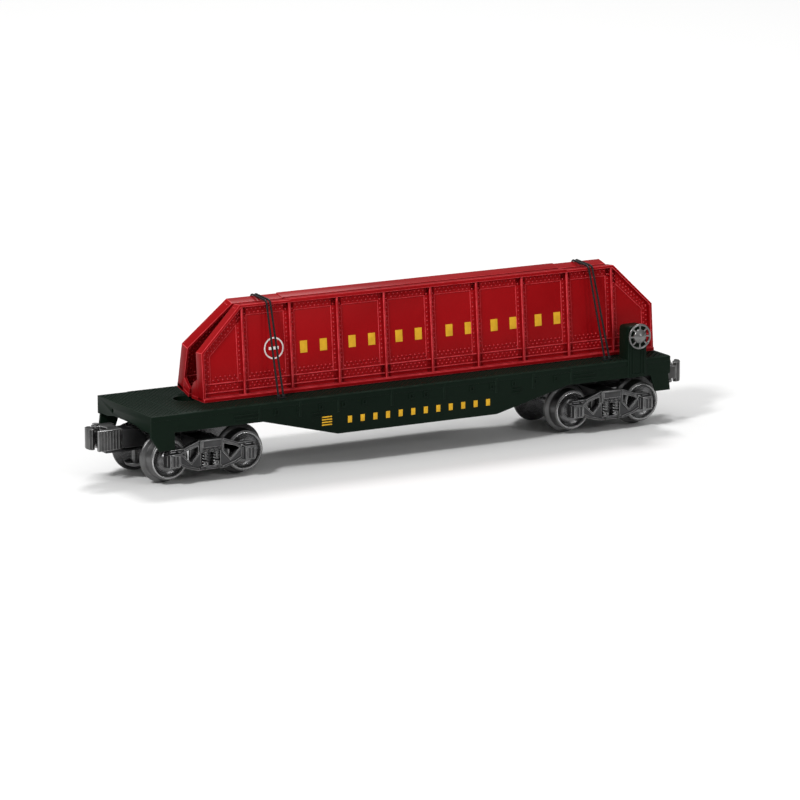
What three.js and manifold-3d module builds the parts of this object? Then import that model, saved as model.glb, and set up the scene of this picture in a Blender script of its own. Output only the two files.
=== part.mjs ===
// An O gauge flat car with two plate girders strapped on its deck, standing on its wheel flanges.
// Millimetres, +Z up, X along the car, the brake stand at the +X -Y corner.
import * as THREE from "three";
import { mergeVertices } from "three/addons/utils/BufferGeometryUtils.js";
import Module from "manifold-3d";

const wasm = await Module();
wasm.setup();

const GAP = 0.3; // clearance between pieces that touch

// Heights are measured from the rail top; the whole car is lifted at the end to stand on its flanges.
// Body moulding
const BODY_LENGTH = 283;
const BODY_WIDTH = 55.7;
const DECK_TOP = 32.4;
const DECK_BOTTOM = 29.6;
const TREAD_RISE = 0.3;
const TREAD_START = 15.3; // smooth strip at the -X end of the deck
const SILL_BOTTOM = 23.9;
const SILL_THICK = 2.2;
const BELLY_BOTTOM = 13.9;
const BELLY_HALF = 43.4;
const BELLY_END = 83;
const STEP_THICK = 1.4;
const STEP_BOTTOM = 15.6;
const RIB_POSITIONS = [14.3, 43, 63.5, 85];
const RIB_WIDTH = 1.2;
const RIB_PROUD = 0.45;
const CROSS_BEAMS = [-72, -36, 0, 36, 72];
const WELL_RADIUS = 6;
const WELL_FLOOR = 26.7;
const BOSS_RADIUS = 7.4;
const PIVOT_RADIUS = 1.5;

// Trucks
const TRUCK_X = 109.25;
const WHEELBASE = 39.3;
const AXLE_HEIGHT = 9.73; // the tread radius
const FLANGE_RADIUS = 11.95;
const WHEEL_BACK = 13.8;
const WHEEL_FACE = 21.8;
const WHEEL_SIDES = 32;
const AXLE_RADIUS = 1.5;
const FRAME_INNER = 22.5;
const FRAME_OUTER = 25;
const JOURNAL_OUTER = 27.6;
const BOLSTER_HALF = 4.8;
const BOLSTER_BOTTOM = 12;
const BOLSTER_TOP = 17.6;
const BOSS_TOP = 20.2;
const SPRING_RADIUS = 2;
const SPRING_PITCH = 5.7;

// Couplers, as distances outward from the truck's pivot
const SHANK_START = 22.8;
const HEAD_START = 36;
const HEAD_END = 48.5;
const COUPLER_LOW = 13.5;
const COUPLER_HIGH = 23.3;
const KNUCKLE_PIVOT = [43.8, 6.6];
const PIN_RADIUS = 0.9;
const LUG_THICK = 1.5;
// The +X coupler stands out and up by the play in its pocket, with its knuckle part open.
const KNUCKLE_OPEN = 25; // degrees
const COUPLER_PLAY = { left: [0, 0], right: [0.5, 0.8] };
const TACK_AT = 26.9;

// Girders
const GIRDER_START = -107.3;
const GIRDER_LENGTH = 247.4;
const GIRDER_HEIGHT = 42.8;
const GIRDER_CLIP = 21.2;
const GIRDER_SHOULDER = 22.1;
const FLANGE_WIDTH = 5.9;
const FLANGE_THICK = 1.2;
const WEB_THICK = 1.4;
const STIFFENERS = 9;
const STIFFENER_PITCH = 25.35;
const COVER_RISE = 0.4;
const GUSSET_THICK = 1.4;
// The near girder stands on its flat foot; the far one leans on it and rests on its foot's inner edge.
const NEAR_GIRDER = { base: -11.6, lift: 0.8, lean: 4.9 };
const FAR_GIRDER = { base: 9.7, lift: 2.2, lean: 13.2 };

// Brake gear
const STAND_X = 122;
const STAND_WIDTH = 10.4;
const STAND_DEPTH = 8.3;
const STAND_TOP = 49.2;
const BRAKE_WHEEL_Z = 44.4;
const BRAKE_WHEEL_RADIUS = 6.3;

// Tie bands
const BAND_RADIUS = 0.5;
const BAND_FOOT_Y = 21.6;
const BAND_SPACING = 1.3; // each strand's distance from the band's middle
const BANDS = [
  { name: "left", top: -71.5, foot: -70.4 },
  { name: "right", top: 105.2, foot: 108.9 },
];

const LOOKS = {
  body: [0x1e2a21, 0.5, 0],
  girder: [0x96191e, 0.4, 0],
  wheel: [0x55565a, 0.35, 0.9],
  truck: [0x2c2d2f, 0.5, 0.6],
  coupler: [0x6c6d70, 0.4, 0.8],
  steel: [0x8a8b8e, 0.35, 0.9],
  band: [0x101010, 0.8, 0],
};

// ---- solids

function toSolid(geometry) {
  const bare = new THREE.BufferGeometry();
  const loose = geometry.index ? geometry.toNonIndexed() : geometry;
  bare.setAttribute("position", loose.getAttribute("position"));
  const merged = mergeVertices(bare, 1e-4);
  return new wasm.Manifold(
    new wasm.Mesh({
      numProp: 3,
      vertProperties: merged.attributes.position.array,
      triVerts: new Uint32Array(merged.index.array),
    }),
  );
}

function toGeometry(solid) {
  const mesh = solid.getMesh();
  const geometry = new THREE.BufferGeometry();
  geometry.setAttribute("position", new THREE.BufferAttribute(mesh.vertProperties, 3));
  geometry.setIndex(new THREE.BufferAttribute(mesh.triVerts, 1));
  geometry.computeVertexNormals();
  return geometry;
}

const join = (...pieces) => pieces.reduce((sum, piece) => sum.add(piece));
const cut = (solid, ...tools) => tools.reduce((left, tool) => left.subtract(tool), solid);

function block(x0, x1, y0, y1, z0, z1) {
  const geometry = new THREE.BoxGeometry(Math.abs(x1 - x0), Math.abs(y1 - y0), Math.abs(z1 - z0));
  geometry.translate((x0 + x1) / 2, (y0 + y1) / 2, (z0 + z1) / 2);
  return toSolid(geometry);
}

function extrude(points, depth) {
  const outline = points.map(([a, b]) => new THREE.Vector2(a, b));
  if (THREE.ShapeUtils.area(outline) < 0) outline.reverse();
  return new THREE.ExtrudeGeometry(new THREE.Shape(outline), { depth, bevelEnabled: false });
}

// An outline in X and Z, swept from y0 to y1.
function sidePlate(points, y0, y1) {
  const geometry = extrude(points, Math.abs(y1 - y0));
  geometry.rotateX(Math.PI / 2);
  geometry.translate(0, Math.max(y0, y1), 0);
  return toSolid(geometry);
}

// An outline in X and Y, swept from z0 to z1.
function floorPlate(points, z0, z1) {
  const geometry = extrude(points, z1 - z0);
  geometry.translate(0, 0, z0);
  return toSolid(geometry);
}

// An outline in Y and Z, swept from x0 to x1.
function crossPlate(points, x0, x1) {
  const geometry = extrude(points, x1 - x0);
  geometry.rotateX(Math.PI / 2);
  geometry.rotateZ(Math.PI / 2);
  geometry.translate(x0, 0, 0);
  return toSolid(geometry);
}

function drum(radius, low, high, sides = 24, axis = "z") {
  const geometry = new THREE.CylinderGeometry(radius, radius, high - low, sides);
  geometry.translate(0, (low + high) / 2, 0);
  if (axis === "z") geometry.rotateX(Math.PI / 2);
  return toSolid(geometry);
}

const at = (solid, x, y, z) => solid.translate([x, y, z]);

// ---- body moulding

function bellyOutline(top) {
  const end = BODY_LENGTH / 2;
  return [
    [-end, top],
    [-end, SILL_BOTTOM],
    [-BELLY_END, SILL_BOTTOM],
    [-BELLY_HALF, BELLY_BOTTOM],
    [BELLY_HALF, BELLY_BOTTOM],
    [BELLY_END, SILL_BOTTOM],
    [end, SILL_BOTTOM],
    [end, top],
  ];
}

function bodyMoulding() {
  const end = BODY_LENGTH / 2;
  const side = BODY_WIDTH / 2;
  const pieces = [
    block(-end, end, -side, side, DECK_BOTTOM, DECK_TOP),
    block(-end + TREAD_START, end - 0.4, -side + 0.6, side - 0.6, DECK_TOP - 0.5, DECK_TOP + TREAD_RISE),
  ];
  for (const hand of [-1, 1]) {
    pieces.push(sidePlate(bellyOutline(DECK_TOP - 0.5), hand * side, hand * (side - SILL_THICK)));
    const endSill = [hand * (end - SILL_THICK), hand * end];
    pieces.push(block(...endSill, -side, side, SILL_BOTTOM + 0.6, DECK_TOP - 0.5));
    // One corner step reaches the end of the car and the other tapers in from it.
    // The far side is the same turned round.
    for (const outline of [OUTER_STEP, INNER_STEP]) {
      const placed = outline.map(([x, z]) => [hand * x, z]);
      pieces.push(sidePlate(placed, -hand * side, -hand * (side - STEP_THICK)));
    }
    const ribFace = [hand * (side - 0.5), hand * (side + RIB_PROUD)];
    for (const x of RIB_POSITIONS.flatMap((p) => [-p, p])) {
      const ribWidth = [x - RIB_WIDTH / 2, x + RIB_WIDTH / 2];
      pieces.push(block(...ribWidth, ...ribFace, SILL_BOTTOM + 0.6, DECK_TOP - 0.9));
    }
  }
  for (const x of CROSS_BEAMS) {
    pieces.push(block(x - 1, x + 1, -side + 1, side - 1, DECK_BOTTOM - 5, DECK_BOTTOM + 0.5));
  }
  pieces.push(brakeStand());
  const holes = [];
  for (const x of [-TRUCK_X, TRUCK_X]) {
    pieces.push(at(drum(BOSS_RADIUS, BOSS_TOP + 0.4, DECK_BOTTOM + 0.5), x, 0, 0));
    holes.push(at(drum(WELL_RADIUS, WELL_FLOOR, DECK_TOP + 2), x, 0, 0));
    holes.push(at(drum(PIVOT_RADIUS + GAP, 10, WELL_FLOOR + 1, 16), x, 0, 0));
  }
  holes.push(at(drum(1, -BODY_LENGTH, BODY_LENGTH, 12, "y").rotate([0, 0, 90]), 0, 12, 28));
  for (const x of [-end, end]) {
    holes.push(crossPlate(END_SILL_ARCH, x - SILL_THICK - 1, x + SILL_THICK + 1));
  }
  const shaftHole = drum(1.1, -side - 3, -side + 4, 12, "y");
  holes.push(at(shaftHole, STAND_X, 0, BRAKE_WHEEL_Z));
  return cut(join(...pieces), ...holes);
}

// The end sill is cut up over the coupler, as [y, z].
const END_SILL_ARCH = [
  [-21, SILL_BOTTOM],
  [-11, SILL_BOTTOM + 1.8],
  [11, SILL_BOTTOM + 1.8],
  [21, SILL_BOTTOM],
];
const OUTER_STEP = [
  [BODY_LENGTH / 2, DECK_BOTTOM],
  [BODY_LENGTH / 2, SILL_BOTTOM + 0.6],
  [BODY_LENGTH / 2 - 1, SILL_BOTTOM - 0.4],
  [BODY_LENGTH / 2, STEP_BOTTOM],
  [BODY_LENGTH / 2 - 8.3, STEP_BOTTOM],
  [BODY_LENGTH / 2 - 11.2, SILL_BOTTOM],
  [BODY_LENGTH / 2 - 11.2, DECK_BOTTOM],
];
const INNER_STEP = [
  [-BODY_LENGTH / 2, DECK_BOTTOM],
  [-BODY_LENGTH / 2, SILL_BOTTOM - 1.6],
  [-BODY_LENGTH / 2 + 4.6, STEP_BOTTOM],
  [-BODY_LENGTH / 2 + 12.3, STEP_BOTTOM],
  [-BODY_LENGTH / 2 + 12.3, DECK_BOTTOM],
];

// The moulded housing at the brake corner, with its pilaster down the side sill.
function brakeStand() {
  const half = STAND_WIDTH / 2;
  const face = -BODY_WIDTH / 2 - 0.6;
  const arc = 1.8;
  const corner = [0, 30, 60, 90].map((turn) => {
    const a = THREE.MathUtils.degToRad(turn);
    return [half - arc + arc * Math.cos(a), STAND_TOP - arc + arc * Math.sin(a)];
  });
  const mirrored = corner.map(([x, z]) => [-x, z]).reverse();
  const outline = [[half, DECK_TOP - 0.5], ...corner, ...mirrored, [-half, DECK_TOP - 0.5]];
  const housing = sidePlate(outline.map(([x, z]) => [STAND_X + x, z]), face, face + STAND_DEPTH);
  const pilaster = block(STAND_X - half, STAND_X + half, face, face + 1.2, SILL_BOTTOM, DECK_TOP);
  return join(housing, pilaster);
}

// ---- brake wheel

function brakeWheel() {
  const back = BODY_WIDTH / 2 + 0.6 + 1.6;
  const hub = [
    [0, back - 0.4],
    [3.7, back - 0.4],
    [3.7, back + 0.9],
    [2.9, back + 1.9],
    [1.5, back + 2.4],
    [0, back + 2.5],
  ];
  const rim = [
    [5.2, back],
    [BRAKE_WHEEL_RADIUS, back],
    [BRAKE_WHEEL_RADIUS, back + 1],
    [5.2, back + 1],
    [5.2, back],
  ];
  const pieces = [lathe(hub, 24), lathe(rim, 32)];
  for (let i = 0; i < 8; i += 1) {
    pieces.push(block(3, 5.6, back + 0.15, back + 0.85, -0.45, 0.45).rotate([0, i * 45, 0]));
  }
  return at(mirrorY(join(...pieces)), STAND_X, 0, BRAKE_WHEEL_Z);
}

// A profile of [radius, y] turned about the Y axis.
function lathe(profile, sides) {
  const points = profile.map(([r, y]) => new THREE.Vector2(r, y));
  const geometry = new THREE.LatheGeometry(points, sides);
  const solid = toSolid(geometry);
  return solid.volume() < 0 ? toSolid(turnedInsideOut(geometry)) : solid;
}

function turnedInsideOut(geometry) {
  const flipped = geometry.toNonIndexed();
  const p = flipped.getAttribute("position");
  for (let i = 0; i < p.count; i += 3) {
    const [x, y, z] = [p.getX(i), p.getY(i), p.getZ(i)];
    p.setXYZ(i, p.getX(i + 1), p.getY(i + 1), p.getZ(i + 1));
    p.setXYZ(i + 1, x, y, z);
  }
  return flipped;
}

const mirrorY = (solid) => solid.mirror([0, 1, 0]);

function brakeShaft() {
  const side = BODY_WIDTH / 2;
  const shaft = drum(0.8, side - 3, side + 1.5, 12, "y");
  return at(mirrorY(shaft), STAND_X, 0, BRAKE_WHEEL_Z);
}

// ---- wheels and axles

// A wheel on the +Y side; a flat of its tread faces straight down.
function wheel() {
  const grow = 1 / Math.cos(Math.PI / WHEEL_SIDES);
  const face = WHEEL_FACE;
  const profile = [
    [AXLE_RADIUS + GAP, face - 0.9],
    [3.3, face - 0.9],
    [3.8, face - 1.9],
    [7.9, face - 1.7],
    [8.4, face - 0.2],
    [9.2, face],
    [AXLE_HEIGHT, face - 0.5],
    [AXLE_HEIGHT, 16.2],
    [FLANGE_RADIUS - 0.5, 15.4],
    [FLANGE_RADIUS, 14.6],
    [FLANGE_RADIUS - 0.5, WHEEL_BACK],
    [AXLE_RADIUS + GAP, WHEEL_BACK],
    [AXLE_RADIUS + GAP, face - 0.9],
  ].map(([r, y]) => [r * grow, y]);
  return lathe(profile, WHEEL_SIDES).rotate([0, 180 / WHEEL_SIDES, 0]);
}

const axle = () => drum(AXLE_RADIUS, -FRAME_OUTER + 0.6, FRAME_OUTER - 0.6, 16, "y");

// ---- truck castings, about the truck's own pivot, with the coupler towards -X

function truckFrame() {
  const across = FRAME_INNER - GAP;
  const bolster = block(-BOLSTER_HALF, BOLSTER_HALF, -across, across, BOLSTER_BOTTOM, BOLSTER_TOP);
  const boss = drum(6.5, BOLSTER_TOP - 0.5, BOSS_TOP);
  const tongue = block(-SHANK_START - 1, -BOLSTER_HALF + 0.5, -4, 4, 14, 16.6);
  const shank = [
    [-HEAD_START + GAP, 13.7],
    [-HEAD_START + GAP, 22.4],
    [-30, 22.4],
    [-26, 21.2],
    [-23.4, 18.4],
    [-SHANK_START, 16],
    [-SHANK_START, 13.7],
  ];
  const pocket = sidePlate(shank, -5, 5);
  const pivotHole = drum(PIVOT_RADIUS + GAP, 5, 25, 16);
  return cut(join(bolster, boss, tongue, pocket), pivotHole);
}

// Half outline of a side frame from its bottom middle outwards, then back along the top.
const FRAME_HALF = [
  [6, 3.8],
  [12.6, 5.6],
  [16.4, 7.6],
  [23.2, 7.6],
  [23.2, 13.6],
  [21.5, 14.8],
  [14.2, 15],
  [6.2, 18],
];
const FRAME_WINDOW = [
  [6.5, 12],
  [6.7, 15.5],
  [13.4, 13.5],
  [15, 12.4],
  [10.2, 8],
];

function sideFrame(hand) {
  const mirrored = FRAME_HALF.map(([u, z]) => [-u, z]).reverse();
  const plate = sidePlate([...FRAME_HALF, ...mirrored], hand * FRAME_INNER, hand * FRAME_OUTER);
  const capPlate = block(-5.2, 5.2, hand * FRAME_INNER, hand * (FRAME_OUTER + 1.2), 13.2, 18.2);
  const pieces = [plate, capPlate];
  const holes = [block(-5, 5, hand * 20, hand * 28, 5.3, 12.8)];
  for (const end of [-1, 1]) {
    const centre = (end * WHEELBASE) / 2;
    const depth = [hand * FRAME_INNER, hand * JOURNAL_OUTER];
    pieces.push(block(centre - 3.6, centre + 3.6, ...depth, AXLE_HEIGHT - 3.2, AXLE_HEIGHT + 3.9));
    holes.push(sidePlate(FRAME_WINDOW.map(([u, z]) => [end * u, z]), hand * 20, hand * 28));
    const bore = drum(AXLE_RADIUS + GAP, 20, FRAME_OUTER - 0.3, 16, "y");
    holes.push(at(hand < 0 ? mirrorY(bore) : bore, centre, 0, AXLE_HEIGHT));
  }
  return cut(join(...pieces), ...holes);
}

function coilSpring(x, hand) {
  const low = 5.6;
  const turns = 4;
  const pitch = (12.5 - low) / turns;
  const profile = [[0, low]];
  for (let i = 0; i < turns; i += 1) {
    profile.push([SPRING_RADIUS - 0.5, low + i * pitch]);
    profile.push([SPRING_RADIUS, low + (i + 0.5) * pitch]);
  }
  profile.push([SPRING_RADIUS - 0.5, low + turns * pitch]);
  profile.push([0, low + turns * pitch]);
  return at(lathe(profile, 10).rotate([90, 0, 0]), x, hand * 24, 0);
}

// ---- coupler

function couplerHead() {
  const [pf, py] = KNUCKLE_PIVOT;
  const outline = [
    [-HEAD_START, -5.4],
    [-44, -6.2],
    [-HEAD_END, -6.2],
    [-HEAD_END, -4.4],
    [-45.5, -3.6],
    [-42.6, -2.6],
    [-41.4, 0],
    [-41, 3],
    [-41.4, 9.6],
    [-34.4, 9.6],
    [-34.4, 6],
    [-HEAD_START, 5.4],
  ];
  const lug = [
    [-38, 0],
    [-41.4, 0],
    [-42.6, 4.4],
    [-45, 4.6],
    [-46, 6.6],
    [-45.2, 8.6],
    [-43, 9.6],
    [-38, 9.6],
  ];
  const pieces = [floorPlate(outline, COUPLER_LOW, COUPLER_HIGH)];
  pieces.push(floorPlate(lug, COUPLER_LOW, COUPLER_LOW + LUG_THICK));
  pieces.push(floorPlate(lug, COUPLER_HIGH - LUG_THICK, COUPLER_HIGH));
  return cut(join(...pieces), at(drum(PIN_RADIUS + GAP, 10, 26, 12), -pf, py, 0));
}

// openBy swings the nose outwards about its pin, in degrees.
function knuckle(openBy) {
  const [pf, py] = KNUCKLE_PIVOT;
  const tail = [
    [-42.3, 5.2],
    [-41.8, 8],
    [-44, 8.7],
    [-47.6, 7.6],
    [-48.4, 5],
    [-48, 2.4],
    [-46, 2.2],
    [-44, 4.4],
  ];
  const nose = [
    [-46.6, 3],
    [-46.6, 6.6],
    [-48.2, 7],
    [-49.8, 5.8],
    [-50.5, 3.2],
    [-50.3, 0.2],
    [-49.2, -1.4],
    [-47.8, -0.8],
    [-47.8, 2],
  ];
  const low = COUPLER_LOW + LUG_THICK + GAP;
  const high = COUPLER_HIGH - LUG_THICK - GAP;
  const solid = join(floorPlate(tail, low, high), floorPlate(nose, COUPLER_LOW, COUPLER_HIGH));
  const bored = cut(solid, at(drum(PIN_RADIUS + GAP, 10, 26, 12), -pf, py, 0));
  return at(at(bored, pf, -py, 0).rotate([0, 0, -openBy]), -pf, py, 0);
}

function knucklePin() {
  const [pf, py] = KNUCKLE_PIVOT;
  const shank = drum(PIN_RADIUS, COUPLER_LOW - 0.8, COUPLER_HIGH + 0.5, 12);
  return at(join(shank, drum(1.6, COUPLER_HIGH + GAP, COUPLER_HIGH + 0.9, 12)), -pf, py, 0);
}

function armature() {
  const plate = block(-43.4, -TACK_AT + 3, -3.5, 3.5, 11.8, 12.6);
  return cut(plate, at(drum(1.7, 5, 20, 16), -TACK_AT, 0, 0));
}

function armatureTack() {
  const profile = [
    [0, 3.4],
    [2.6, 3.7],
    [4.4, 4.5],
    [5, 5.6],
    [1.4, 4.9],
    [1.4, 12.9],
    [2.3, 12.9],
    [2.3, 13.3],
    [0, 13.3],
  ];
  return at(lathe(profile, 20).rotate([90, 0, 0]), -TACK_AT, 0, 0);
}

// ---- girders

const STIFFENER_XS = Array.from(
  { length: STIFFENERS },
  (_, i) => GIRDER_START + GIRDER_LENGTH / 2 + (i - (STIFFENERS - 1) / 2) * STIFFENER_PITCH,
);

function girderOutline(inset) {
  const left = GIRDER_START + inset;
  const right = GIRDER_START + GIRDER_LENGTH - inset;
  const slope = inset * 0.42;
  return [
    [left, 0],
    [left, GIRDER_SHOULDER - slope],
    [left + GIRDER_CLIP - slope, GIRDER_HEIGHT - inset],
    [right - GIRDER_CLIP + slope, GIRDER_HEIGHT - inset],
    [right, GIRDER_SHOULDER - slope],
    [right, 0],
  ];
}

// Built upright with its outer face towards -Y and its web on y = 0, then leaned about its foot.
function girderBlade() {
  const half = FLANGE_WIDTH / 2;
  const top = GIRDER_HEIGHT - 0.5;
  const web = sidePlate(girderOutline(0), -WEB_THICK / 2, WEB_THICK / 2);
  const inside = girderOutline(FLANGE_THICK);
  inside[0][1] = -1;
  inside[5][1] = -1;
  const rim = cut(sidePlate(girderOutline(0), -half, half), sidePlate(inside, -half - 1, half + 1));
  const cover = block(STIFFENER_XS[1], STIFFENER_XS[7], -half, half, top, GIRDER_HEIGHT + COVER_RISE);
  const pieces = [web, rim, cover];
  for (const x of STIFFENER_XS) {
    pieces.push(block(x - 0.6, x + 0.6, -half + 0.5, half - 0.5, 0, top));
  }
  return join(...pieces);
}

// place says where the blade's base is across the deck, how far it is lifted and how far it leans.
function girder(hand, place) {
  const floor = DECK_TOP + TREAD_RISE + GAP;
  let blade = girderBlade();
  if (hand > 0) blade = mirrorY(blade);
  blade = at(blade.rotate([hand * place.lean, 0, 0]), 0, place.base, floor + place.lift);
  const foot = hand < 0 ? NEAR_FOOT : FAR_FOOT;
  const corner = hand < 0 ? NEAR_GUSSET : FAR_GUSSET;
  const raise = (outline) => outline.map(([y, z]) => [y, z + floor]);
  const end = GIRDER_START + GIRDER_LENGTH;
  const pieces = [crossPlate(raise(foot), GIRDER_START, end)];
  for (const x of [GIRDER_START, end - GUSSET_THICK]) {
    pieces.push(crossPlate(raise(corner), x, x + GUSSET_THICK));
  }
  return cut(join(blade, ...pieces), block(-200, 200, -40, 40, floor - 20, floor));
}

// Foot flanges and end gussets as [y, height above the deck].
const NEAR_FOOT = [
  [-15, 0],
  [-15, 1.6],
  [-2.2, 1.6],
  [-2.2, 0],
];
const NEAR_GUSSET = [
  [-11, 0],
  [-2.2, 0],
  [-2, 4.4],
  [-4.4, 8.2],
  [-8, 9.8],
  [-11, 9.8],
];
const FAR_FOOT = [
  [1.1, 0],
  [0.6, 1.6],
  [12.1, 5.2],
  [12.6, 3.6],
];
const FAR_GUSSET = [
  [9.6, 2.8],
  [1.1, 0],
  [0, 4.2],
  [3.4, 6.4],
  [5.6, 8.8],
  [8, 10.5],
  [9.6, 9.8],
];

// ---- tie bands

// Straight runs between stops, with one ring of the section at each stop.
class Route extends THREE.Curve {
  constructor(stops) {
    super();
    this.stops = stops;
  }
  getPoint(t) {
    const place = t * (this.stops.length - 1);
    const i = Math.min(Math.floor(place), this.stops.length - 2);
    return this.stops[i].clone().lerp(this.stops[i + 1], place - i);
  }
  getUtoTmapping(u) {
    return u;
  }
}

// The outer edge of a girder's top flange.
function girderTop(hand, place) {
  const lean = THREE.MathUtils.degToRad(place.lean);
  const half = FLANGE_WIDTH / 2;
  const rise = GIRDER_HEIGHT * Math.cos(lean) + half * Math.sin(lean);
  return {
    y: place.base + hand * (half * Math.cos(lean) - GIRDER_HEIGHT * Math.sin(lean)),
    z: DECK_TOP + TREAD_RISE + GAP + place.lift + rise,
  };
}

// A strand from the hook at one deck edge, over both girder tops and down to the other edge.
function strand(band, offset) {
  const low = DECK_TOP + TREAD_RISE + 1.4;
  const x = band.top + offset * 0.75;
  const foot = band.foot + offset;
  const near = girderTop(-1, NEAR_GIRDER);
  const far = girderTop(1, FAR_GIRDER);
  const stops = [
    [foot, -BAND_FOOT_Y, low],
    [x, near.y - 1.1, near.z - 1.4],
    [x, near.y - 0.7, near.z + 0.4],
    [x, near.y + 0.6, near.z + 0.95],
    [x, far.y - 0.6, far.z + 0.95],
    [x, far.y + 0.7, far.z + 0.3],
    [x, far.y + 1.3, far.z - 1.2],
    [foot, BAND_FOOT_Y, low],
  ];
  const path = new Route(stops.map((p) => new THREE.Vector3(...p)));
  const section = new THREE.Shape(
    Array.from({ length: 8 }, (_, i) => {
      const a = (i * Math.PI) / 4;
      return new THREE.Vector2(BAND_RADIUS * Math.cos(a), BAND_RADIUS * Math.sin(a));
    }),
  );
  const sweep = { steps: stops.length - 1, extrudePath: path, bevelEnabled: false };
  return toSolid(new THREE.ExtrudeGeometry(section, sweep));
}

// A moulded hook on the deck that the band loops under.
function bandHook(band, hand) {
  const y = hand * (BAND_FOOT_Y + 0.8);
  const low = DECK_TOP + TREAD_RISE + GAP;
  const base = block(band.foot - 2, band.foot + 2, y - 1.2, y + 1.2, low, low + 0.6);
  const post = block(band.foot - 0.7, band.foot + 0.7, y - 0.9, y + 0.9, low, low + 1.6);
  return join(base, at(post, 0, hand * 1.2, 0));
}

// ---- assembly

const car = new THREE.Group();

function add(parent, name, solid, look) {
  const [color, roughness, metalness] = LOOKS[look];
  const material = new THREE.MeshStandardMaterial({ color, roughness, metalness });
  const mesh = new THREE.Mesh(toGeometry(solid), material);
  mesh.name = name;
  parent.add(mesh);
  return mesh;
}

function addTruck(side) {
  const truck = new THREE.Group();
  truck.position.x = side === "left" ? -TRUCK_X : TRUCK_X;
  truck.rotation.z = side === "left" ? 0 : Math.PI;
  add(truck, `truck_frame_${side}`, truckFrame(), "truck");
  for (const [hand, place] of [[-1, "a"], [1, "b"]]) {
    add(truck, `side_frame_${side}_${place}`, sideFrame(hand), "truck");
    for (const [x, order] of [[-SPRING_PITCH / 2, 1], [SPRING_PITCH / 2, 2]]) {
      add(truck, `spring_${side}_${place}${order}`, coilSpring(x, hand), "steel");
    }
  }
  for (const [x, place] of [[-WHEELBASE / 2, "outer"], [WHEELBASE / 2, "inner"]]) {
    add(truck, `axle_${side}_${place}`, at(axle(), x, 0, AXLE_HEIGHT), "steel");
    add(truck, `wheel_${side}_${place}_a`, at(mirrorY(wheel()), x, 0, AXLE_HEIGHT), "wheel");
    add(truck, `wheel_${side}_${place}_b`, at(wheel(), x, 0, AXLE_HEIGHT), "wheel");
  }
  const [out, up] = COUPLER_PLAY[side];
  const openBy = side === "right" ? KNUCKLE_OPEN : 0;
  add(truck, `coupler_head_${side}`, at(couplerHead(), -out, 0, up), "coupler");
  add(truck, `knuckle_${side}`, at(knuckle(openBy), -out, 0, up), "coupler");
  add(truck, `knuckle_pin_${side}`, at(knucklePin(), -out, 0, up), "steel");
  add(truck, `armature_${side}`, armature(), "truck");
  add(truck, `armature_tack_${side}`, armatureTack(), "steel");
  const screw = join(drum(PIVOT_RADIUS, 9.4, 27.2, 16), drum(3.2, 27, 28.6, 20));
  add(truck, `pivot_screw_${side}`, cut(screw, block(-3.5, 3.5, -0.4, 0.4, 27.9, 29)), "steel");
  const nut = cut(drum(3.6, 10, BOLSTER_BOTTOM - GAP, 6), drum(1.8, 5, 20, 16));
  add(truck, `pivot_nut_${side}`, nut, "steel");
  car.add(truck);
}

add(car, "body_moulding", bodyMoulding(), "body");
add(car, "weight_plate", block(-70, 70, -16, 16, 22.4, 24.2), "steel");
add(car, "brake_wheel", brakeWheel(), "steel");
add(car, "brake_shaft", brakeShaft(), "steel");
for (const side of ["left", "right"]) addTruck(side);
add(car, "girder_near", girder(-1, NEAR_GIRDER), "girder");
add(car, "girder_far", girder(1, FAR_GIRDER), "girder");
for (const band of BANDS) {
  for (const [offset, order] of [[-BAND_SPACING, 1], [BAND_SPACING, 2]]) {
    add(car, `tie_band_${band.name}_${order}`, strand(band, offset), "band");
  }
  for (const [hand, place] of [[-1, "near"], [1, "far"]]) {
    add(car, `band_hook_${band.name}_${place}`, bandHook(band, hand), "body");
  }
}

// The origin lies under the middle of the whole car, where its wheels stand.
const extent = new THREE.Box3().setFromObject(car);
const middle = extent.getCenter(new THREE.Vector3());
car.position.set(-middle.x, -middle.y, -extent.min.z);

const model = new THREE.Group();
model.add(car);
export default model;
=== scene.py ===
from math import cos, hypot, pi, radians, sin, tan

import bmesh
import bpy
from mathutils import Matrix, Vector


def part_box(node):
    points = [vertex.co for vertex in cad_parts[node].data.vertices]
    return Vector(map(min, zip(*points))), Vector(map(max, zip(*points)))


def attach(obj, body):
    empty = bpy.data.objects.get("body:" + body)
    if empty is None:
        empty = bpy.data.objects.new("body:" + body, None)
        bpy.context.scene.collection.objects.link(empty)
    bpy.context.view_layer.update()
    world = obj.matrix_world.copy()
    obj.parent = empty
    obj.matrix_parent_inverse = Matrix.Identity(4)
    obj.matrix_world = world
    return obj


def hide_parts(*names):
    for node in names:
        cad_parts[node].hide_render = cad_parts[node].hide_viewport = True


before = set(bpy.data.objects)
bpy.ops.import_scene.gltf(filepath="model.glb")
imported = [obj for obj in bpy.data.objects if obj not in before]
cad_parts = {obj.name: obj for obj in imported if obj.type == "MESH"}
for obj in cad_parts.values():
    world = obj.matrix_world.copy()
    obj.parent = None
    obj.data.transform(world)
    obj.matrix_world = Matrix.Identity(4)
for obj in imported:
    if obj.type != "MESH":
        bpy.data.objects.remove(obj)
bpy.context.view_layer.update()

scene = bpy.context.scene


# ---- Studio
# A long lens from the left and a little above, a strong light over the left end, a softer one
# above the far side, and a matt pale floor that the wheel flanges stand on. These are in metres.

# The car is drawn in millimetres: X along it, Y across it from the track's centre line, Z up
# from the rail head. The steel weight lies dead centre at a known height and sets that.
WEIGHT_MIDDLE = 23.3
weight_low, weight_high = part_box("weight_plate")
rail_origin = (weight_low + weight_high) / 2 - Vector((0, 0, WEIGHT_MIDDLE / 1000))
to_row = Matrix.Translation(rail_origin) @ Matrix.Scale(0.001, 4)


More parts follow.
